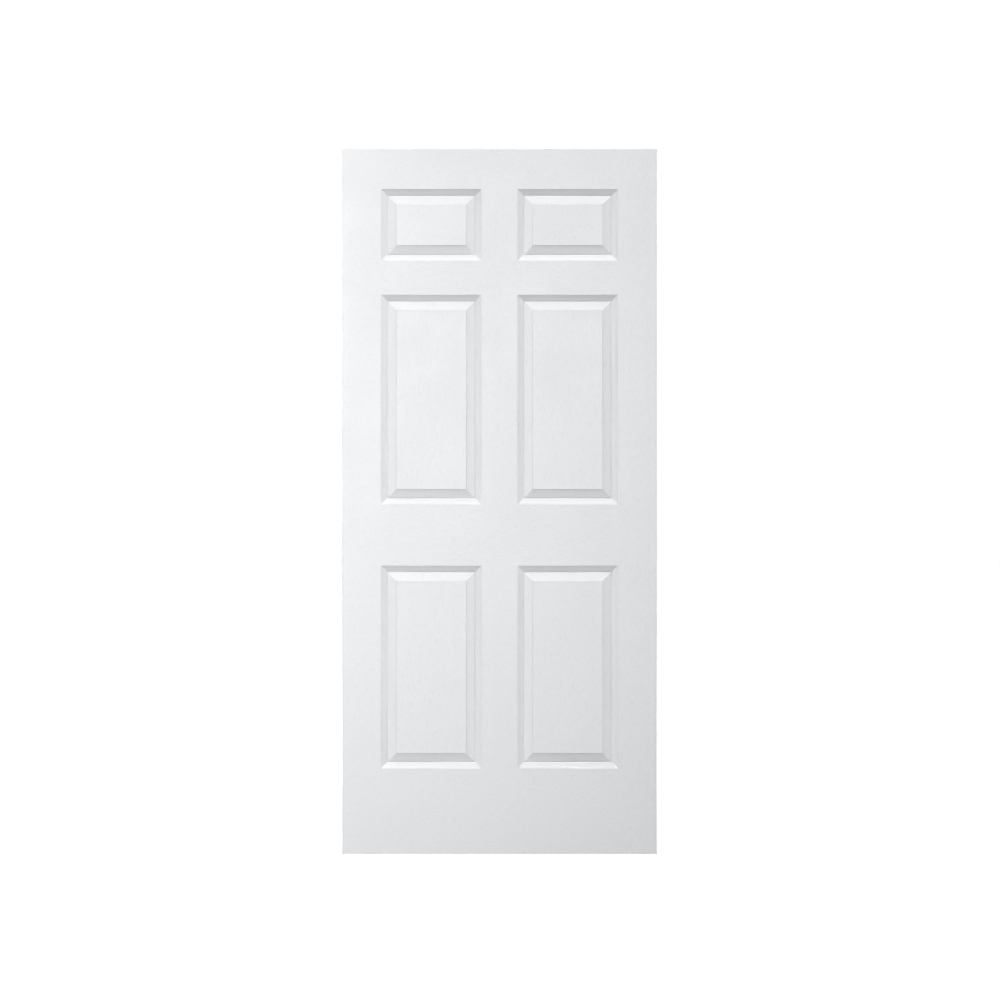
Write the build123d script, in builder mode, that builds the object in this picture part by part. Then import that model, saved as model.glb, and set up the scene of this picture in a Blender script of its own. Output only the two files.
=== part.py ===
from build123d import *
import os

os.makedirs("parts", exist_ok=True)

# Six-panel interior door slab, hollow core. Millimetres.
# The slab stands upright: width along X, thickness along Y, height along +Z.
# The origin is the middle of the bottom edge, and the front face looks along -Y.

# Slab
door_width = 908.05
door_height = 2032.0
door_thickness = 34.925
skin_thickness = 3.175
eased_edge = 0.8

# Stiles, rails and mullion as they show on the face
face_stile_width = 113.05
mullion_width = 104.35
top_rail_face = 115.4
top_panel_height = 205.9
frieze_rail_face = 99.0
lock_rail_face = 176.8
lock_rail_centre = 919.3
bottom_rail_face = 246.7

# Moulding round each panel, from the frame's face inwards to the panel's raised field
quirk_width = 0.7
quirk_depth = 1.0
sticking_width = 14.3
sticking_depth = 7.0
shoulder_width = 2.2
shoulder_depth = 2.0
groove_width = 0.8
foot_width = 2.4
foot_height = 1.7
bevel_width = 22.2
field_step_width = 1.4
field_step_height = 1.6
outer_radius = 0.5
shoulder_radius = 1.2
groove_radius = 0.6
field_radius = 0.6
moulding_lap = 1.5

# Timber between the two skins
edge_stile_width = 28.575
inner_top_rail_width = 28.575
inner_bottom_rail_width = 57.15
lock_block_length = 508.0
lock_block_to_moulding = 8.0

# Paper honeycomb: the cells are pulled out to fill the frame
paper_thickness = 0.6
cell_spacing_wanted = 65.0
cell_height_wanted = 75.0
cell_slant = 21.5
cell_start_share = 0.35

# Staples that hold the frame together until the skins are glued on
staple_crown = 25.4
staple_leg = 15.9
staple_wire = 1.3

# Sizes that follow from those above
core_thickness = door_thickness - 2 * skin_thickness
groove_depth = quirk_depth + sticking_depth + shoulder_depth
groove_start = quirk_width + sticking_width + shoulder_width
groove_end = groove_start + groove_width
bevel_start = groove_end + foot_width
bevel_end = bevel_start + bevel_width
moulding_width = bevel_end + field_step_width
moulding_back_depth = groove_depth + skin_thickness
panel_width = (door_width - 2 * face_stile_width - mullion_width) / 2
lock_block_width = face_stile_width - edge_stile_width - lock_block_to_moulding
panel_centre_x = (mullion_width + panel_width) / 2
low_panel_top = lock_rail_centre - lock_rail_face / 2
middle_panel_bottom = lock_rail_centre + lock_rail_face / 2
top_panel_bottom = door_height - top_rail_face - top_panel_height
middle_panel_top = top_panel_bottom - frieze_rail_face

# Planes of the front face and of the inner side of the front skin, seen from the front
front_face = Plane(origin=(0, -door_thickness / 2, 0), x_dir=(1, 0, 0), z_dir=(0, -1, 0))
front_inner = front_face.offset(-skin_thickness)

# Each panel opening: middle across, bottom and top
panel_rows = [
    (bottom_rail_face, low_panel_top),
    (middle_panel_bottom, middle_panel_top),
    (top_panel_bottom, door_height - top_rail_face),
]
panels = [(side * panel_centre_x, low, high) for low, high in panel_rows for side in (-1, 1)]


def panel_outline(centre_x, low, high):
    """The outer line of one panel's moulding, on the front face."""
    with BuildLine(front_face) as outline:
        Polyline(
            (centre_x - panel_width / 2, (low + high) / 2),
            (centre_x - panel_width / 2, high),
            (centre_x + panel_width / 2, high),
            (centre_x + panel_width / 2, low),
            (centre_x - panel_width / 2, low),
            close=True,
        )
    return outline.wires()[0]


def section_plane(centre_x, low, high):
    """Cuts the left side of one panel's moulding: x runs towards the field, y into the door."""
    return Plane(
        origin=(centre_x - panel_width / 2, -door_thickness / 2, (low + high) / 2),
        x_dir=(1, 0, 0),
        z_dir=(0, 0, 1),
    )


def moulding_section(plane):
    """The moulded sheet's section, from the face of the stile to the panel's field."""
    with BuildSketch(plane) as section:
        with BuildLine():
            shown = FilletPolyline(
                (-moulding_lap, 0),
                (0, 0),
                (quirk_width, quirk_depth),
                (quirk_width + sticking_width, quirk_depth + sticking_depth),
                (groove_start, groove_depth),
                (groove_end, groove_depth),
                (bevel_start, groove_depth - foot_height),
                (bevel_end, field_step_height),
                (moulding_width, 0),
                (moulding_width + moulding_lap, 0),
                radius=[
                    outer_radius,
                    outer_radius,
                    shoulder_radius,
                    groove_radius,
                    groove_radius,
                    shoulder_radius,
                    field_radius,
                    field_radius,
                ],
            )
            Polyline(
                shown @ 1,
                (moulding_width + moulding_lap, skin_thickness),
                (bevel_end, skin_thickness),
                (bevel_start, moulding_back_depth),
                (quirk_width + sticking_width, moulding_back_depth),
                (0, skin_thickness),
                (-moulding_lap, skin_thickness),
                shown @ 0,
            )
        make_face()
    return section.sketch


def crushed_section(plane):
    """What the back of the moulding presses out of the core."""
    with BuildSketch(plane) as section:
        with BuildLine():
            Polyline(
                (bevel_end, skin_thickness),
                (bevel_start, moulding_back_depth),
                (quirk_width + sticking_width, moulding_back_depth),
                (0, skin_thickness),
                close=True,
            )
        make_face()
    return section.sketch


# Front skin: one moulded sheet with six raised panels
with BuildPart() as front_skin:
    with BuildSketch(front_face) as flats:
        with Locations((0, door_height / 2)):
            Rectangle(door_width, door_height)
        for centre_x, low, high in panels:
            with Locations((centre_x, (low + high) / 2)):
                Rectangle(
                    panel_width + 2 * moulding_lap,
                    high - low + 2 * moulding_lap,
                    mode=Mode.SUBTRACT,
                )
                Rectangle(
                    panel_width - 2 * (moulding_width + moulding_lap),
                    high - low - 2 * (moulding_width + moulding_lap),
                )
    extrude(amount=-skin_thickness)
    long_edges = front_skin.edges().filter_by(Axis.Z).group_by(Axis.Y)[0].sort_by(Axis.X)
    fillet([long_edges[0], long_edges[-1]], radius=eased_edge)
    for panel in panels:
        sweep(
            sections=moulding_section(section_plane(*panel)),
            path=panel_outline(*panel),
            transition=Transition.RIGHT,
        )
front_skin.part.label = "front_skin"
export_step(front_skin.part, "parts/front_skin.step")

# Back skin: the same sheet turned to the other face
with BuildPart() as back_skin:
    mirror(front_skin.part, about=Plane.XZ)
back_skin.part.label = "back_skin"
export_step(back_skin.part, "parts/back_skin.step")

# Corner staples: one at each end of the top rail, two at each end of the bottom rail
rail_end_x = door_width / 2 - edge_stile_width
staple_heights = [
    inner_bottom_rail_width / 4,
    inner_bottom_rail_width * 3 / 4,
    door_height - inner_top_rail_width / 2,
]
staple_places = [(side * rail_end_x, height) for height in staple_heights for side in (-1, 1)]
with BuildPart() as corner_staples:
    with BuildSketch(front_inner):
        with Locations(staple_places):
            Rectangle(staple_crown, staple_wire)
    extrude(amount=-staple_leg)
    with BuildSketch(front_inner.offset(-staple_wire)):
        with Locations(staple_places):
            Rectangle(staple_crown - 2 * staple_wire, staple_wire)
    extrude(amount=-(staple_leg - staple_wire), mode=Mode.SUBTRACT)
corner_staples.part.label = "corner_staples"
export_step(corner_staples.part, "parts/corner_staples.step")

# Edge stiles: full-height timbers that carry the hinges and the latch
with BuildPart() as left_stile:
    with BuildSketch(front_inner):
        with Locations((-(door_width - edge_stile_width) / 2, door_height / 2)):
            Rectangle(edge_stile_width, door_height)
    extrude(amount=-core_thickness)
    add(corner_staples.part, mode=Mode.SUBTRACT)
left_stile.part.label = "left_stile"
export_step(left_stile.part, "parts/left_stile.step")

with BuildPart() as right_stile:
    mirror(left_stile.part, about=Plane.YZ)
right_stile.part.label = "right_stile"
export_step(right_stile.part, "parts/right_stile.step")

# Rails: short timbers between the stiles, at the top and the bottom
with BuildPart() as top_rail:
    with BuildSketch(front_inner):
        with Locations((0, door_height - inner_top_rail_width / 2)):
            Rectangle(2 * rail_end_x, inner_top_rail_width)
    extrude(amount=-core_thickness)
    add(corner_staples.part, mode=Mode.SUBTRACT)
top_rail.part.label = "top_rail"
export_step(top_rail.part, "parts/top_rail.step")

with BuildPart() as bottom_rail:
    with BuildSketch(front_inner):
        with Locations((0, inner_bottom_rail_width / 2)):
            Rectangle(2 * rail_end_x, inner_bottom_rail_width)
    extrude(amount=-core_thickness)
    add(corner_staples.part, mode=Mode.SUBTRACT)
bottom_rail.part.label = "bottom_rail"
export_step(bottom_rail.part, "parts/bottom_rail.step")

# Lock blocks: solid timber beside each stile, so that a latch can be bored on either edge
lock_block_x = rail_end_x - lock_block_width / 2
with BuildPart() as left_lock_block:
    with BuildSketch(front_inner):
        with Locations((-lock_block_x, lock_rail_centre)):
            Rectangle(lock_block_width, lock_block_length)
    extrude(amount=-core_thickness)
left_lock_block.part.label = "left_lock_block"
export_step(left_lock_block.part, "parts/left_lock_block.step")

with BuildPart() as right_lock_block:
    mirror(left_lock_block.part, about=Plane.YZ)
right_lock_block.part.label = "right_lock_block"
export_step(right_lock_block.part, "parts/right_lock_block.step")

# Honeycomb core: one pad of glued paper ribbons, crushed where the mouldings press in
core_width = 2 * rail_end_x
core_height = door_height - inner_top_rail_width - inner_bottom_rail_width
cell_columns = round(core_width / cell_spacing_wanted)
cell_rows = round(core_height / cell_height_wanted)
cell_spacing = core_width / cell_columns
cell_height = core_height / cell_rows
cell_flat = cell_spacing - cell_slant
cell_places = [
    (
        column * cell_spacing - core_width / 2,
        inner_bottom_rail_width + (row + cell_start_share + column % 2 / 2) * cell_height,
    )
    for column in range(cell_columns + 1)
    for row in range(-1, cell_rows + 1)
]

with BuildSketch() as cell:
    with BuildLine():
        Polyline(
            (cell_flat / 2, cell_height / 2),
            (cell_flat / 2 + cell_slant, 0),
            (cell_flat / 2, -cell_height / 2),
            (-cell_flat / 2, -cell_height / 2),
            (-cell_flat / 2 - cell_slant, 0),
            (-cell_flat / 2, cell_height / 2),
            close=True,
        )
    make_face()
    offset(amount=-paper_thickness / 2, kind=Kind.INTERSECTION)

with BuildPart() as crushed_zones:
    for panel in panels:
        sweep(
            sections=crushed_section(section_plane(*panel)),
            path=panel_outline(*panel),
            transition=Transition.RIGHT,
        )
    mirror(about=Plane.XZ)

with BuildPart() as honeycomb_core:
    with BuildSketch(front_inner):
        with Locations((0, inner_bottom_rail_width + core_height / 2)):
            Rectangle(core_width, core_height)
        with Locations((-lock_block_x, lock_rail_centre), (lock_block_x, lock_rail_centre)):
            Rectangle(lock_block_width, lock_block_length, mode=Mode.SUBTRACT)
        with Locations(cell_places):
            add(cell.sketch, mode=Mode.SUBTRACT)
    extrude(amount=-core_thickness)
    add(crushed_zones.part, mode=Mode.SUBTRACT)
honeycomb_core.part.label = "honeycomb_core"
export_step(honeycomb_core.part, "parts/honeycomb_core.step")
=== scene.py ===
import math

import bpy
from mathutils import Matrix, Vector


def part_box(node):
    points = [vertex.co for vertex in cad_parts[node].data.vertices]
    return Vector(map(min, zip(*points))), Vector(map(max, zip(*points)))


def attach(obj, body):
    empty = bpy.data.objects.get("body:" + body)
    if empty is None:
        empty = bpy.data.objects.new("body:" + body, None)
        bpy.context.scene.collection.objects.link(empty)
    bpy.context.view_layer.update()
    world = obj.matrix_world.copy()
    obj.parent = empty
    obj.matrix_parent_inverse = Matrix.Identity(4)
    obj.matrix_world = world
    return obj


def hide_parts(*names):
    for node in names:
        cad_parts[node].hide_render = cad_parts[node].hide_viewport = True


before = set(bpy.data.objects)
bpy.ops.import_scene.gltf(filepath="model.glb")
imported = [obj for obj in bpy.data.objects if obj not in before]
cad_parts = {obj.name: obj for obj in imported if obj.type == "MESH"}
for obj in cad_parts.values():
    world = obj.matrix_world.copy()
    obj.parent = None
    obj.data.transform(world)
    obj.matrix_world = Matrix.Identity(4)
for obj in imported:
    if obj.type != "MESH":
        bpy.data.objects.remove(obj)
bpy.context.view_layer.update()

# Six-panel hollow-core door slab, white primed, with embossed wood grain. Metres.
# Width along X, thickness along Y with the front face at -Y, height along +Z.

# The slab's overall sizes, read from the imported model
SKIN_LOW, SKIN_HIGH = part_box("front_skin")
STILE_LOW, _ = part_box("left_stile")
DOOR_WIDTH = SKIN_HIGH.x - SKIN_LOW.x
DOOR_HEIGHT = SKIN_HIGH.z - SKIN_LOW.z
DOOR_THICKNESS = -2 * SKIN_LOW.y
SKIN_THICKNESS = STILE_LOW.y - SKIN_LOW.y

# Stiles, rails and mullion as they show on the face
FACE_STILE = 0.11305
MULLION = 0.10435
TOP_RAIL = 0.1154
TOP_PANEL = 0.2059
FRIEZE_RAIL = 0.0990
LOCK_RAIL = 0.1768
LOCK_RAIL_CENTRE = 0.9193
BOTTOM_RAIL = 0.2467

# Moulding round each panel, from the frame's face inwards to the panel's field. The hollow is how
# far the middle of the sticking lies below its straight slope before its turn is rounded.
QUIRK_WIDTH, QUIRK_DEPTH = 0.0007, 0.0010
STICKING_WIDTH, STICKING_DEPTH = 0.0143, 0.0070
STICKING_HOLLOW = 0.00085
SHOULDER_WIDTH, SHOULDER_DEPTH = 0.0022, 0.0020
GROOVE_WIDTH = 0.0008
FOOT_WIDTH, FOOT_HEIGHT = 0.0024, 0.0017
BEVEL_WIDTH = 0.0222
FIELD_STEP_WIDTH, FIELD_STEP_HEIGHT = 0.0014, 0.0016
OUTER_RADIUS = 0.0005
HOLLOW_RADIUS = 0.075
SHOULDER_RADIUS = 0.0012
GROOVE_RADIUS = 0.0006
FIELD_RADIUS = 0.0006
MOULDING_LAP = 0.0015
ARC_STEPS = 6

# The outer edge of a skin: eased at the face, chamfered where it is glued to the timber
EASED_EDGE = 0.0008
GLUE_LINE_CHAMFER = 0.00018

# Sizes that follow from those above
GROOVE_DEPTH = QUIRK_DEPTH + STICKING_DEPTH + SHOULDER_DEPTH
STICKING_END = QUIRK_WIDTH + STICKING_WIDTH
STICKING_MIDDLE = QUIRK_WIDTH + STICKING_WIDTH / 2
STICKING_MIDDLE_DEPTH = QUIRK_DEPTH + STICKING_DEPTH / 2 + STICKING_HOLLOW
GROOVE_START = STICKING_END + SHOULDER_WIDTH
GROOVE_END = GROOVE_START + GROOVE_WIDTH
BEVEL_START = GROOVE_END + FOOT_WIDTH
BEVEL_END = BEVEL_START + BEVEL_WIDTH
MOULDING_WIDTH = BEVEL_END + FIELD_STEP_WIDTH
MOULDING_REACH = MOULDING_WIDTH + MOULDING_LAP
BACK_DEPTH = GROOVE_DEPTH + SKIN_THICKNESS
PANEL_WIDTH = (DOOR_WIDTH - 2 * FACE_STILE - MULLION) / 2
PANEL_COLUMNS = [
    (-MULLION / 2 - PANEL_WIDTH, -MULLION / 2),
    (MULLION / 2, MULLION / 2 + PANEL_WIDTH),
]
PANEL_ROWS = [
    (BOTTOM_RAIL, LOCK_RAIL_CENTRE - LOCK_RAIL / 2),
    (LOCK_RAIL_CENTRE + LOCK_RAIL / 2, DOOR_HEIGHT - TOP_RAIL - TOP_PANEL - FRIEZE_RAIL),
    (DOOR_HEIGHT - TOP_RAIL - TOP_PANEL, DOOR_HEIGHT - TOP_RAIL),
]

# Where the flats of the stiles, rails and mullion end and the mouldings begin
X_LINES = [x for left, right in PANEL_COLUMNS for x in (left - MOULDING_LAP, right + MOULDING_LAP)]
Z_LINES = [z for low, high in PANEL_ROWS for z in (low - MOULDING_LAP, high + MOULDING_LAP)]

# The photograph's view: square on, with the slab centred in a square picture
PICTURE_PIXELS = 1000
DOOR_PIXELS_HIGH = 705
DOOR_CENTRE_PIXEL = (499.5, 501.5)
CAMERA_DISTANCE = 6.0
SENSOR_MILLIMETRES = 36.0

# Colours, as linear light
WHITE = (1.0, 1.0, 1.0, 1.0)
PRIMER_WHITE = (0.858, 0.866, 0.882)
# A greyer primer: painted shade on the skins, in the grain's ticks and the moulding's slopes and
# recesses; on the stiles' edges, the timber's fibres showing through
PRIMER_GREY = (0.763, 0.772, 0.792)
PINE_PALE = (0.640, 0.455, 0.255)
PINE_DARK = (0.430, 0.255, 0.120)
HARDBOARD = (0.190, 0.105, 0.055)
HARDBOARD_FIBRE = (0.300, 0.180, 0.100)
KRAFT = (0.420, 0.270, 0.150)
KRAFT_FIBRE = (0.330, 0.205, 0.110)
STAPLE_BRIGHT = (0.560, 0.565, 0.575)
STAPLE_DULL = (0.460, 0.465, 0.475)


class Nodes:
    """A short way to write a material's node tree."""

    def __init__(self, tree):
        self.tree = tree

    def add(self, kind, inputs=(), **settings):
        """A node with its settings, and its inputs by name or number: values or other sockets."""
        node = self.tree.nodes.new(kind)
        for name, value in settings.items():
            setattr(node, name, value)
        for key, value in dict(inputs).items():
            if isinstance(value, bpy.types.NodeSocket):
                self.tree.links.new(value, node.inputs[key])
            else:
                node.inputs[key].default_value = value
        return node

    def link(self, socket, node, name):
        self.tree.links.new(socket, node.inputs[name])

    def math(self, operation, first, second=0.0, third=0.0):
        inputs = {0: first, 1: second, 2: third}
        return self.add("ShaderNodeMath", inputs, operation=operation).outputs[0]

    def vector(self, *parts):
        """A vector of three parts. A part is a socket, a number, or a socket with its scale."""
        made = [self.math("MULTIPLY", *part) if isinstance(part, tuple) else part for part in parts]
        return self.add("ShaderNodeCombineXYZ", dict(enumerate(made))).outputs[0]

    def noise(self, vector, scale=1.0, detail=2.0, roughness=0.5):
        inputs = {"Vector": vector, "Scale": scale, "Detail": detail, "Roughness": roughness}
        return self.add("ShaderNodeTexNoise", inputs).outputs[0]

    def mix(self, share, first, second):
        inputs = {0: share, 2: first, 3: second}
        return self.add("ShaderNodeMix", inputs, data_type="FLOAT").outputs[0]

    def smooth_step(self, value, low, high, to_low=0.0, to_high=1.0):
        """Turns values between low and high into values between to_low and to_high."""
        inputs = {0: value, 1: low, 2: high, 3: to_low, 4: to_high}
        return self.add("ShaderNodeMapRange", inputs, interpolation_type="SMOOTHSTEP").outputs[0]

    def colour(self, share, first, second):
        """A mix of two colours: each one red, green and blue values, or a socket."""
        first, second = [
            end if isinstance(end, bpy.types.NodeSocket) else (*end, 1.0) for end in (first, second)
        ]
        inputs = {0: share, 6: first, 7: second}
        return self.add("ShaderNodeMix", inputs, data_type="RGBA").outputs[2]

    def place(self):
        """The place on the object."""
        return self.add("ShaderNodeTexCoord").outputs["Object"]

    def parts(self, vector):
        """The x, y and z of a vector."""
        return self.add("ShaderNodeSeparateXYZ", {0: vector}).outputs

    def bump(self, shader, height, depth):
        """Presses a pattern of heights into the surface, depth metres for a height of 1."""
        inputs = {"Height": height, "Distance": depth, "Strength": 1.0}
        self.link(self.add("ShaderNodeBump", inputs).outputs[0], shader, "Normal")


def new_material(name, roughness=0.5, specular=0.5, metallic=0.0):
    """An empty material: its Nodes and its surface shader."""
    material = bpy.data.materials.new(name)
    material.use_nodes = True
    nodes = Nodes(material.node_tree)
    shader = material.node_tree.nodes["Principled BSDF"]
    shader.inputs["Roughness"].default_value = roughness
    shader.inputs["Specular IOR Level"].default_value = specular
    shader.inputs["Metallic"].default_value = metallic
    return material, nodes, shader


# Nearly all of a noise pattern lies between these levels
NOISE_SPAN = (0.3, 0.7)

# What the primer's pattern follows on each face of a skin: the grain's run (0 upright, 1 level), its
# seed, which differs from member to member, and the painted shade that greys it
FINISH_NAMES = ("grain_level", "grain_seed", "painted_shade")
PLAIN = (0.0, 0.0, 0.0)
PANEL_SEED = 1.0
RAIL_SEED = 10.0
MULLION_SEED = 20.0
LEFT_STILE_SEED = 30.0
RIGHT_STILE_SEED = 31.0
SEED_STEP = 3.7

# Painted shade on the parts of the moulding, from 0 to 1: the primer is greyed a little on the slopes
# and most in the sharp turns and the groove, where shade falls
STICKING_PAINTED_SHADE = 0.3
TURN_PAINTED_SHADE = 1.0
BEVEL_PAINTED_SHADE = 0.12

# Wood grain pressed into the skins: short fine ticks, which lie closer together in drifts, along a
# grain that wanders a little. Noise scales are waves a metre along and across the grain.
GRAIN_DEPTH = 0.00012
TICK_SCALE_ALONG, TICK_SCALE_ACROSS = 65.0, 700.0
DRIFT_SCALE_ALONG, DRIFT_SCALE_ACROSS = 45.0, 150.0
WANDER_SCALE_ALONG, WANDER_SCALE_ACROSS = 1.7, 5.0
WANDER_REACH = 0.05
TICK_SEED = 11.0
TICK_LEVELS = (0.5, 0.66)
TICKS_BETWEEN_DRIFTS = 0.35
TICK_HEIGHT, DRIFT_HEIGHT = 0.7, 0.3
# Painted shade: how much the primer is greyed in the grain's pressed ticks
TICK_PAINTED_SHADE = 0.65
GLOSS_SCALE = 9.0
PRIMER_ROUGHNESS = (0.44, 0.54)


def primed_skin():
    """White primer over embossed grain, which runs along each stile, rail and panel."""
    material, nodes, shader = new_material("primed_skin", specular=0.4)
    place = nodes.place()
    x, _, z = nodes.parts(place)
    level, seed, moulding_shade = (
        nodes.add("ShaderNodeAttribute", attribute_name=name).outputs["Fac"] for name in FINISH_NAMES
    )
    along = nodes.mix(level, z, x)
    across = nodes.mix(level, x, z)
    offset = nodes.math("MULTIPLY", seed, SEED_STEP)

    wander = nodes.noise(
        nodes.vector((along, WANDER_SCALE_ALONG), (across, WANDER_SCALE_ACROSS), offset), detail=1.0
    )
    bent = nodes.math("MULTIPLY_ADD", wander, WANDER_REACH, across)
    drifts = nodes.noise(
        nodes.vector((along, DRIFT_SCALE_ALONG), (bent, DRIFT_SCALE_ACROSS), offset),
        detail=2.0,
        roughness=0.6,
    )
    tick_offset = nodes.math("ADD", offset, TICK_SEED)
    fine = nodes.noise(
        nodes.vector((along, TICK_SCALE_ALONG), (bent, TICK_SCALE_ACROSS), tick_offset), detail=1.0
    )
    dense = nodes.smooth_step(drifts, *NOISE_SPAN, TICKS_BETWEEN_DRIFTS, 1.0)
    ticks = nodes.math("MULTIPLY", nodes.smooth_step(fine, *TICK_LEVELS), dense)
    raised = nodes.math("MULTIPLY", drifts, DRIFT_HEIGHT)
    pressed = nodes.math("MULTIPLY", ticks, TICK_HEIGHT)
    nodes.bump(shader, nodes.math("SUBTRACT", raised, pressed), GRAIN_DEPTH)

    # Painted shade: the primer is greyed in the grain's ticks and on the moulding's slopes, turns and
    # groove
    grey_share = nodes.math("MAXIMUM", nodes.math("MULTIPLY", ticks, TICK_PAINTED_SHADE), moulding_shade)
    nodes.link(nodes.colour(grey_share, PRIMER_WHITE, PRIMER_GREY), shader, "Base Color")
    gloss = nodes.noise(place, GLOSS_SCALE, detail=3.0)
    nodes.link(nodes.smooth_step(gloss, *NOISE_SPAN, *PRIMER_ROUGHNESS), shader, "Roughness")
    return material


HARDBOARD_SCALE = 900.0
HARDBOARD_RELIEF = 0.00012


def hardboard_edge():
    """The skins' sawn top and bottom edges: bare pressed fibre."""
    material, nodes, shader = new_material("hardboard_edge", roughness=0.85, specular=0.25)
    fibres = nodes.noise(nodes.place(), HARDBOARD_SCALE, detail=3.0, roughness=0.65)
    nodes.link(nodes.colour(fibres, HARDBOARD, HARDBOARD_FIBRE), shader, "Base Color")
    nodes.bump(shader, fibres, HARDBOARD_RELIEF)
    return material


# Sawn softwood: streaks of growth rings that wander a little, and fine fibres
TIMBER_WANDER_SCALE = 2.2
TIMBER_WANDER_REACH = 0.02
RING_SCALE_ALONG, RING_SCALE_ACROSS, RING_SCALE_THROUGH = 1.5, 190.0, 60.0
RING_LEVELS = (0.42, 0.68)
FIBRE_SCALE_ALONG, FIBRE_SCALE_ACROSS = 45.0, 1500.0
RING_SHARE, FIBRE_SHARE = 0.65, 0.35
TIMBER_RELIEF = 0.00010
X_AXIS, Z_AXIS = 0, 2


def sawn_timber(name, grain_axis, seed):
    """Softwood as sawn, with its grain along one axis."""
    material, nodes, shader = new_material(name, roughness=0.7, specular=0.3)
    parts = nodes.parts(nodes.place())
    along, across, through = (parts[(grain_axis + step) % 3] for step in range(3))
    wander = nodes.noise(nodes.vector((along, TIMBER_WANDER_SCALE), across, seed), detail=1.0)
    bent = nodes.math("MULTIPLY_ADD", wander, TIMBER_WANDER_REACH, across)
    depth = nodes.math("MULTIPLY_ADD", through, RING_SCALE_THROUGH, seed)
    streaks = nodes.noise(
        nodes.vector((along, RING_SCALE_ALONG), (bent, RING_SCALE_ACROSS), depth), detail=2.0
    )
    rings = nodes.smooth_step(streaks, *RING_LEVELS)
    fibres = nodes.noise(
        nodes.vector(
            (along, FIBRE_SCALE_ALONG), (across, FIBRE_SCALE_ACROSS), (through, FIBRE_SCALE_ACROSS)
        ),
        detail=2.0,
    )
    dark = nodes.math("MULTIPLY_ADD", fibres, FIBRE_SHARE, nodes.math("MULTIPLY", rings, RING_SHARE))
    nodes.link(nodes.colour(dark, PINE_PALE, PINE_DARK), shader, "Base Color")
    nodes.bump(shader, nodes.math("ADD", rings, fibres), TIMBER_RELIEF)
    return material


# A stile's end grain: growth rings round a heart outside the piece, beyond its inner edge and in
# front of it. Its edge shows the timber's fibres faintly through the primer.
END_TILT = 0.7
HEART_X, HEART_Y = 0.385, -0.035
END_RINGS_A_METRE = 380.0
END_RING_WANDER_SCALE = 120.0
END_RING_WANDER = 0.0012
END_RING_LEVELS = (0.35, 1.0)
END_RING_SHARES = (0.15, 0.9)
EDGE_FIBRE_SCALE_ALONG, EDGE_FIBRE_SCALE_ACROSS = 14.0, 900.0
EDGE_FIBRE_LEVELS = (0.5, 0.75)
STILE_RELIEF = 0.00008


def primed_stile():
    """Primer on the stile's edge, and bare end grain on its sawn ends."""
    material, nodes, shader = new_material("primed_stile", roughness=0.5, specular=0.4)
    place = nodes.place()
    x, y, z = nodes.parts(place)
    up = nodes.parts(nodes.add("ShaderNodeNewGeometry").outputs["True Normal"])[2]
    on_end = nodes.math("GREATER_THAN", nodes.math("ABSOLUTE", up), END_TILT)

    from_heart_x = nodes.math("SUBTRACT", nodes.math("ABSOLUTE", x), HEART_X)
    from_heart_y = nodes.math("SUBTRACT", y, HEART_Y)
    squares = [nodes.math("MULTIPLY", side, side) for side in (from_heart_x, from_heart_y)]
    radius = nodes.math("SQRT", nodes.math("ADD", *squares))
    wander = nodes.noise(place, END_RING_WANDER_SCALE, detail=2.0)
    bent = nodes.math("MULTIPLY_ADD", wander, END_RING_WANDER, radius)
    rings = nodes.math("FRACT", nodes.math("MULTIPLY", bent, END_RINGS_A_METRE))
    dark = nodes.smooth_step(rings, *END_RING_LEVELS, *END_RING_SHARES)
    end_colour = nodes.colour(dark, PINE_PALE, PINE_DARK)

    fibres = nodes.noise(
        nodes.vector(
            (x, EDGE_FIBRE_SCALE_ACROSS), (y, EDGE_FIBRE_SCALE_ACROSS), (z, EDGE_FIBRE_SCALE_ALONG)
        ),
        detail=2.0,
    )
    grey_share = nodes.smooth_step(fibres, *EDGE_FIBRE_LEVELS)
    edge_colour = nodes.colour(grey_share, PRIMER_WHITE, PRIMER_GREY)
    nodes.link(nodes.colour(on_end, edge_colour, end_colour), shader, "Base Color")
    height = nodes.math("ADD", fibres, nodes.math("MULTIPLY", rings, on_end))
    nodes.bump(shader, height, STILE_RELIEF)
    return material


KRAFT_SCALE = 600.0
KRAFT_RELIEF = 0.00006


def kraft_paper():
    """The honeycomb's brown paper, with its fibres."""
    material, nodes, shader = new_material("kraft_paper", roughness=0.9, specular=0.2)
    fibres = nodes.noise(nodes.place(), KRAFT_SCALE, detail=4.0, roughness=0.7)
    nodes.link(nodes.colour(fibres, KRAFT, KRAFT_FIBRE), shader, "Base Color")
    nodes.bump(shader, fibres, KRAFT_RELIEF)
    return material


WIRE_SCALE = 1500.0
WIRE_ROUGHNESS = (0.28, 0.45)


def staple_wire():
    """Drawn steel wire, brighter and duller in places."""
    material, nodes, shader = new_material("staple_wire", metallic=1.0)
    drawn = nodes.noise(nodes.place(), WIRE_SCALE, detail=2.0)
    nodes.link(nodes.colour(drawn, STAPLE_BRIGHT, STAPLE_DULL), shader, "Base Color")
    nodes.link(nodes.smooth_step(drawn, *NOISE_SPAN, *WIRE_ROUGHNESS), shader, "Roughness")
    return material


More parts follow.
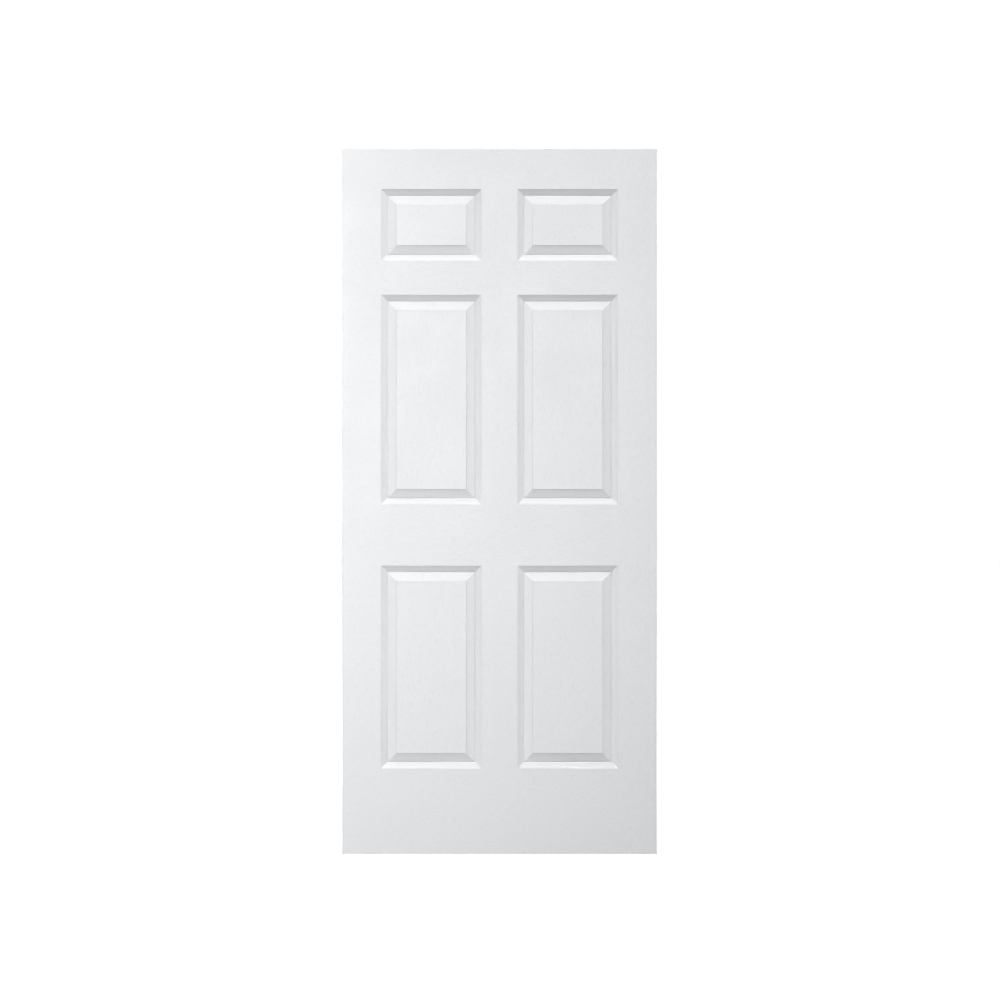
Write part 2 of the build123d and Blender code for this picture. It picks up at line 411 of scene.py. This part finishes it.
def rounded_profile(corners):
    """Points along a line of (inset, depth, radius) corners with rounded turns, each point with
    its normal. The line's two ends have no turn."""
    places = [Vector(corner[:2]) for corner in corners]
    ways = [(b - a).normalized() for a, b in zip(places, places[1:])]
    angles = [math.atan2(way.y, way.x) for way in ways]
    found = [(places[0], angles[0])]
    for i, (way, next_corner) in enumerate(zip(ways, corners[1:-1])):
        radius = next_corner[2]
        turn = angles[i + 1] - angles[i]
        start = places[i + 1] - way * (radius * math.tan(abs(turn) / 2))
        side = math.copysign(1.0, turn)
        centre = start + side * radius * Vector((-way.y, way.x))
        for step in range(ARC_STEPS + 1):
            angle = angles[i] + turn * step / ARC_STEPS
            across = Vector((-math.sin(angle), math.cos(angle)))
            found.append((centre - side * radius * across, angle))
    found.append((places[-1], angles[-1]))
    return [(point, Vector((math.sin(angle), -math.cos(angle)))) for point, angle in found]


# The moulding's section: insets from the panel's opening, and depths below the face
SHOWN_PROFILE = rounded_profile(
    [
        (-MOULDING_LAP, 0.0, 0.0),
        (0.0, 0.0, OUTER_RADIUS),
        (QUIRK_WIDTH, QUIRK_DEPTH, OUTER_RADIUS),
        (STICKING_MIDDLE, STICKING_MIDDLE_DEPTH, HOLLOW_RADIUS),
        (STICKING_END, QUIRK_DEPTH + STICKING_DEPTH, SHOULDER_RADIUS),
        (GROOVE_START, GROOVE_DEPTH, GROOVE_RADIUS),
        (GROOVE_END, GROOVE_DEPTH, GROOVE_RADIUS),
        (BEVEL_START, GROOVE_DEPTH - FOOT_HEIGHT, SHOULDER_RADIUS),
        (BEVEL_END, FIELD_STEP_HEIGHT, FIELD_RADIUS),
        (MOULDING_WIDTH, 0.0, FIELD_RADIUS),
        (MOULDING_REACH, 0.0, 0.0),
    ]
)
BACK_PROFILE = [
    (-MOULDING_LAP, SKIN_THICKNESS),
    (0.0, SKIN_THICKNESS),
    (STICKING_END, BACK_DEPTH),
    (BEVEL_START, BACK_DEPTH),
    (BEVEL_END, SKIN_THICKNESS),
    (MOULDING_REACH, SKIN_THICKNESS),
]


def moulding_painted_shade(inset):
    """How much painted shade greys the primer at a place in the moulding: a little on the slopes, most
    in the sharp turns and the groove.
    """
    if inset < 0 or inset > MOULDING_WIDTH:
        return 0.0
    if inset < STICKING_END:
        return STICKING_PAINTED_SHADE
    if inset < BEVEL_START or inset > BEVEL_END:
        return TURN_PAINTED_SHADE
    return BEVEL_PAINTED_SHADE


def member_finish(column_line, row_line):
    """The finish of a flat, by its place in the grid of stiles, rails and mullion parts."""
    if column_line == 0:
        return 0.0, LEFT_STILE_SEED, 0.0
    if column_line == len(X_LINES):
        return 0.0, RIGHT_STILE_SEED, 0.0
    if row_line % 2:
        return 0.0, MULLION_SEED + row_line // 2, 0.0
    return 1.0, RAIL_SEED + row_line // 2, 0.0


def member_seeds(column, row):
    """The grain seeds of the members below, right of, above and left of a panel."""
    mullion = MULLION_SEED + row
    right = mullion if column == 0 else RIGHT_STILE_SEED
    left = LEFT_STILE_SEED if column == 0 else mullion
    return RAIL_SEED + row, right, RAIL_SEED + row + 1, left


def panel_sides(left, right, low, high):
    """The bottom, right, top and left side of a panel. Each is its two corners, both with the way
    that they move as the moulding goes inwards, and the way inwards from the side itself."""
    corners = [(left, low), (right, low), (right, high), (left, high)]
    diagonals = [(1, 1), (-1, 1), (-1, -1), (1, -1)]
    inwards = [(0, 1), (-1, 0), (0, -1), (1, 0)]
    sides = []
    for i, inward in enumerate(inwards):
        j = (i + 1) % len(inwards)
        sides.append((corners[i], diagonals[i], corners[j], diagonals[j], inward))
    return sides


# Corners are one point where they agree to this many digits of a metre
SAME_POINT_DIGITS = 7


class MouldedSkin:
    """The mesh of one skin with its six panels, with a normal at each corner of each face. facing
    is -1 for the front face and 1 for the back."""

    def __init__(self, facing):
        self.facing = facing
        self.outwards = Vector((0, facing, 0))
        self.points = {}
        self.faces = []
        self.normals = []
        self.finishes = []
        self.sawn = []
        self.add_flats(0.0, EASED_EDGE, self.outwards)
        self.add_flats(SKIN_THICKNESS, GLUE_LINE_CHAMFER, -self.outwards)
        self.add_panels()
        self.add_outer_edge()

    def spot(self, x, z, depth):
        """A place at a depth below the shown face."""
        return Vector((x, self.facing * (DOOR_THICKNESS / 2 - depth), z))

    def vertex(self, point):
        """The number of a point, which faces share where they meet."""
        key = tuple(round(value, SAME_POINT_DIGITS) for value in point)
        return self.points.setdefault(key, len(self.points))

    def face(self, corners, normals, finish=PLAIN, sawn=False):
        """One face. Its corners are put in the order that makes it look the way its normals point."""
        across = (corners[1] - corners[0]).cross(corners[2] - corners[0])
        if across.dot(normals[0] + normals[1] + normals[2]) < 0:
            corners = corners[::-1]
            normals = normals[::-1]
        self.faces.append([self.vertex(corner) for corner in corners])
        self.normals.extend(normals)
        self.finishes.append(finish)
        self.sawn.append(sawn)

    def flat(self, box, depth, normal, finish=PLAIN):
        left, right, low, high = box
        ring = ((left, low), (right, low), (right, high), (left, high))
        self.face([self.spot(x, z, depth) for x, z in ring], [normal] * 4, finish)

    def strip(self, side, p, q, normal_p, normal_q, finish=PLAIN):
        """One face along a panel's side, between two points of the moulding's section."""
        corner_a, way_a, corner_b, way_b, inward = side

        def place(corner, way, point):
            inset, depth = point
            return self.spot(corner[0] + way[0] * inset, corner[1] + way[1] * inset, depth)

        def turned(normal):
            return Vector((inward[0], 0, inward[1])) * normal.x - self.outwards * normal.y

        corners = [
            place(corner_a, way_a, p),
            place(corner_b, way_b, p),
            place(corner_b, way_b, q),
            place(corner_a, way_a, q),
        ]
        self.face(corners, [turned(normal_p)] * 2 + [turned(normal_q)] * 2, finish)

    def add_flats(self, depth, trim, normal):
        """The stiles, rails and mullion on one side of the sheet, trimmed for its outer edge."""
        xs = [trim - DOOR_WIDTH / 2, *X_LINES, DOOR_WIDTH / 2 - trim]
        zs = [trim, *Z_LINES, DOOR_HEIGHT - trim]
        for i, (left, right) in enumerate(zip(xs, xs[1:])):
            for j, (low, high) in enumerate(zip(zs, zs[1:])):
                is_panel = i % 2 and j % 2
                if not is_panel:
                    self.flat((left, right, low, high), depth, normal, member_finish(i, j))

    def add_panels(self):
        """The panels' mouldings and fields, on both sides of the sheet."""
        for column, (left, right) in enumerate(PANEL_COLUMNS):
            for row, (low, high) in enumerate(PANEL_ROWS):
                seed = PANEL_SEED + len(PANEL_ROWS) * column + row
                field = (
                    left + MOULDING_REACH,
                    right - MOULDING_REACH,
                    low + MOULDING_REACH,
                    high - MOULDING_REACH,
                )
                self.flat(field, 0.0, self.outwards, (0.0, seed, 0.0))
                self.flat(field, SKIN_THICKNESS, -self.outwards)
                sides = panel_sides(left, right, low, high)
                for side, member_seed in zip(sides, member_seeds(column, row)):
                    self.add_moulding(side, member_seed, seed)

    def add_moulding(self, side, member_seed, panel_seed):
        """The moulding along one side of a panel. Up to its groove it has the member's grain."""
        inward = side[-1]
        on_rail = float(inward[0] == 0)
        for (p, normal_p), (q, normal_q) in zip(SHOWN_PROFILE, SHOWN_PROFILE[1:]):
            inset = (p.x + q.x) / 2
            # Each strip carries the painted shade of its part of the moulding
            level, seed = (on_rail, member_seed) if inset < GROOVE_START else (0.0, panel_seed)
            self.strip(side, p, q, normal_p, normal_q, (level, seed, moulding_painted_shade(inset)))
        for p, q in zip(BACK_PROFILE, BACK_PROFILE[1:]):
            normal = Vector((p[1] - q[1], q[0] - p[0])).normalized()
            self.strip(side, p, q, normal, normal)

    def loop(self, inset, depth):
        """Points round the sheet, at the ends of the flats, from the bottom left corner on."""
        xs = [inset - DOOR_WIDTH / 2, *X_LINES, DOOR_WIDTH / 2 - inset]
        zs = [inset, *Z_LINES, DOOR_HEIGHT - inset]
        around = [(x, zs[0]) for x in xs[:-1]] + [(xs[-1], z) for z in zs[:-1]]
        around += [(x, zs[-1]) for x in xs[:0:-1]] + [(xs[0], z) for z in zs[:0:-1]]
        return [self.spot(x, z, depth) for x, z in around]

    def add_outer_edge(self):
        """The edge all round the sheet. Its section is points of inset and depth, each with the
        shares of its normal that point out of the edge and out of the face."""
        section = []
        for step in range(ARC_STEPS + 1):
            angle = math.pi / 2 * step / ARC_STEPS
            inset = EASED_EDGE * (1 - math.sin(angle))
            depth = EASED_EDGE * (1 - math.cos(angle))
            section.append((inset, depth, math.sin(angle), math.cos(angle)))
        section.append((0.0, SKIN_THICKNESS - GLUE_LINE_CHAMFER, 1.0, 0.0))
        section.append((GLUE_LINE_CHAMFER, SKIN_THICKNESS, 1.0, 0.0))

        counts = [len(X_LINES) + 1, len(Z_LINES) + 1] * 2
        edge_ways = [(0, 0, -1), (1, 0, 0), (0, 0, 1), (-1, 0, 0)]
        ways = [Vector(way) for way, count in zip(edge_ways, counts) for _ in range(count)]
        for p, q in zip(section, section[1:]):
            first = self.loop(p[0], p[1])
            second = self.loop(q[0], q[1])
            for i, way in enumerate(ways):
                j = (i + 1) % len(ways)
                normal_p, normal_q = (way * out + self.outwards * front for *_, out, front in (p, q))
                corners = [first[i], first[j], second[j], second[i]]
                sawn = way.z != 0 and p[1] > EASED_EDGE / 2
                self.face(corners, [normal_p, normal_p, normal_q, normal_q], sawn=sawn)

    def build(self, name, primer, bare):
        """The object, with its primer and the bare material of its sawn ends."""
        mesh = bpy.data.meshes.new(name)
        mesh.from_pydata(list(self.points), [], self.faces)
        for label, values in zip(FINISH_NAMES, zip(*self.finishes)):
            mesh.attributes.new(label, "FLOAT", "FACE").data.foreach_set("value", values)
        mesh.materials.append(primer)
        mesh.materials.append(bare)
        mesh.polygons.foreach_set("material_index", [int(sawn) for sawn in self.sawn])
        mesh.polygons.foreach_set("use_smooth", [True] * len(self.faces))
        mesh.normals_split_custom_set([tuple(normal) for normal in self.normals])
        mesh.update()
        piece = bpy.data.objects.new(name, mesh)
        bpy.context.scene.collection.objects.link(piece)
        return piece


def dress_cad_nodes():
    """Gives the nodes that stay as packed their finishes."""
    rail_timber = sawn_timber("bare_timber", X_AXIS, seed=2.0)
    block_timber = sawn_timber("upright_timber", Z_AXIS, seed=5.0)
    for material, names in (
        (primed_stile(), ("left_stile", "right_stile")),
        (rail_timber, ("top_rail", "bottom_rail")),
        (block_timber, ("left_lock_block", "right_lock_block")),
        (kraft_paper(), ("honeycomb_core",)),
        (staple_wire(), ("corner_staples",)),
    ):
        for name in names:
            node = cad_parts[name]
            node.data.materials.clear()
            node.data.materials.append(material)


def add_skins():
    """The two moulded skins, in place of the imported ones."""
    primer = primed_skin()
    bare = hardboard_edge()
    for name, node, facing in (
        ("front_moulded_skin", "front_skin", -1),
        ("back_moulded_skin", "back_skin", 1),
    ):
        piece = MouldedSkin(facing).build(name, primer, bare)
        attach(piece, "root")
        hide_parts(node)


# Studio: a floor that the camera sees as white, and a faint fill from the world
FLOOR_SIZE = 60.0
FLOOR_COLOUR = (0.7, 0.7, 0.7)
FLOOR_BOUNCE = (0.06, 0.06, 0.06)
GLOW_RADII = (0.5, 2.4)
GLOW_LEVELS = (0.7, 1.0)
WORLD_FILL = 0.02
BACKDROP_WHITE = 1.03


def seen_directly(nodes):
    """1 for the rays that show the background: to the camera, in gloss and through glass."""
    rays = nodes.add("ShaderNodeLightPath").outputs
    seen = nodes.math("MAXIMUM", rays["Is Camera Ray"], rays["Is Glossy Ray"])
    return nodes.math("MAXIMUM", seen, rays["Is Transmission Ray"])


def floor_material():
    """Glowing white where it is seen, less near the slab, and dull where light bounces off it."""
    material = bpy.data.materials.new("studio_floor")
    material.use_nodes = True
    nodes = Nodes(material.node_tree)
    nodes.tree.nodes.remove(nodes.tree.nodes["Principled BSDF"])
    shown = nodes.add("ShaderNodeBsdfDiffuse", {"Color": (*FLOOR_COLOUR, 1.0)})
    bounced = nodes.add("ShaderNodeBsdfDiffuse", {"Color": (*FLOOR_BOUNCE, 1.0)})
    distance = nodes.add("ShaderNodeVectorMath", {0: nodes.place()}, operation="LENGTH")
    level = nodes.smooth_step(distance.outputs["Value"], *GLOW_RADII, *GLOW_LEVELS)
    glow = nodes.add("ShaderNodeEmission", {"Color": WHITE, "Strength": level})
    lit = nodes.add("ShaderNodeAddShader", {0: shown.outputs[0], 1: glow.outputs[0]})
    inputs = {0: seen_directly(nodes), 1: bounced.outputs[0], 2: lit.outputs[0]}
    either = nodes.add("ShaderNodeMixShader", inputs).outputs[0]
    nodes.link(either, nodes.tree.nodes["Material Output"], "Surface")
    return material


def add_floor():
    """A pale floor: white to the camera, yet it keeps the slab's shadow."""
    bpy.ops.mesh.primitive_plane_add(size=FLOOR_SIZE, location=(0, 0, 0))
    floor = bpy.context.object
    floor.name = "studio_floor"
    floor.data.materials.append(floor_material())


def add_world():
    """White behind the slab, and a faint even fill on it."""
    world = bpy.data.worlds.new("studio")
    bpy.context.scene.world = world
    world.use_nodes = True
    nodes = Nodes(world.node_tree)
    backdrop = nodes.math("MULTIPLY", seen_directly(nodes), BACKDROP_WHITE)
    background = nodes.tree.nodes["Background"]
    background.inputs["Color"].default_value = WHITE
    nodes.link(nodes.math("MAXIMUM", backdrop, WORLD_FILL), background, "Strength")


def add_lamp(name, place, aim, size, watts, spread=math.pi):
    """A rectangular lamp at a place, turned to the point that it aims at."""
    lamp = bpy.data.lights.new(name, "AREA")
    lamp.shape = "RECTANGLE"
    lamp.size, lamp.size_y = size
    lamp.energy = watts
    lamp.spread = spread
    piece = bpy.data.objects.new(name, lamp)
    piece.visible_camera = False
    piece.location = place
    piece.rotation_euler = (Vector(aim) - Vector(place)).to_track_quat("-Z", "Y").to_euler()
    bpy.context.scene.collection.objects.link(piece)


def add_lamps():
    """Soft light from above in front, as in the photograph, and from both sides behind."""
    add_lamp("front", (-1.14, -6.55, 2.17), (-1.56, 0, 0.45), size=(3.1, 1.4), watts=76.5, spread=1.37)
    add_lamp(
        "high_middle", (0.44, -2.68, 6.93), (1.43, 0, 4.99), size=(0.64, 0.62), watts=77, spread=1.8
    )
    add_lamp("high_left", (-3.0, -3.2, 9.2), (-0.5, 0, 1.2), size=(1.5, 0.8), watts=89)
    add_lamp("high_right", (3.0, -3.2, 9.2), (0.5, 0, 1.2), size=(1.5, 0.8), watts=108)
    add_lamp(
        "far_left", (-1.97, -6.19, 6.03), (-2.58, 0, 2.5), size=(1.2, 1.8), watts=62, spread=0.51
    )
    add_lamp("back_left", (-4.2, 2.4, 2.4), (0, 0, 1.0), size=(1.6, 1.6), watts=195)
    add_lamp("back_right", (4.2, 2.4, 2.4), (0, 0, 1.0), size=(1.6, 1.6), watts=225)


def add_camera():
    """Square on to the front face, with the photograph's framing."""
    metres_a_pixel = DOOR_HEIGHT / DOOR_PIXELS_HIGH
    middle = PICTURE_PIXELS / 2
    camera = bpy.data.cameras.new("camera")
    camera.sensor_fit = "HORIZONTAL"
    camera.sensor_width = SENSOR_MILLIMETRES
    picture_width = metres_a_pixel * PICTURE_PIXELS
    camera.lens = SENSOR_MILLIMETRES * CAMERA_DISTANCE / picture_width
    piece = bpy.data.objects.new("camera", camera)
    piece.location = (
        (middle - DOOR_CENTRE_PIXEL[0]) * metres_a_pixel,
        -DOOR_THICKNESS / 2 - CAMERA_DISTANCE,
        DOOR_HEIGHT / 2 + (DOOR_CENTRE_PIXEL[1] - middle) * metres_a_pixel,
    )
    piece.rotation_euler = (math.pi / 2, 0, 0)
    bpy.context.scene.collection.objects.link(piece)
    bpy.context.scene.camera = piece


bpy.context.scene.view_settings.view_transform = "Standard"
add_camera()
dress_cad_nodes()
add_skins()
add_floor()
add_world()
add_lamps()
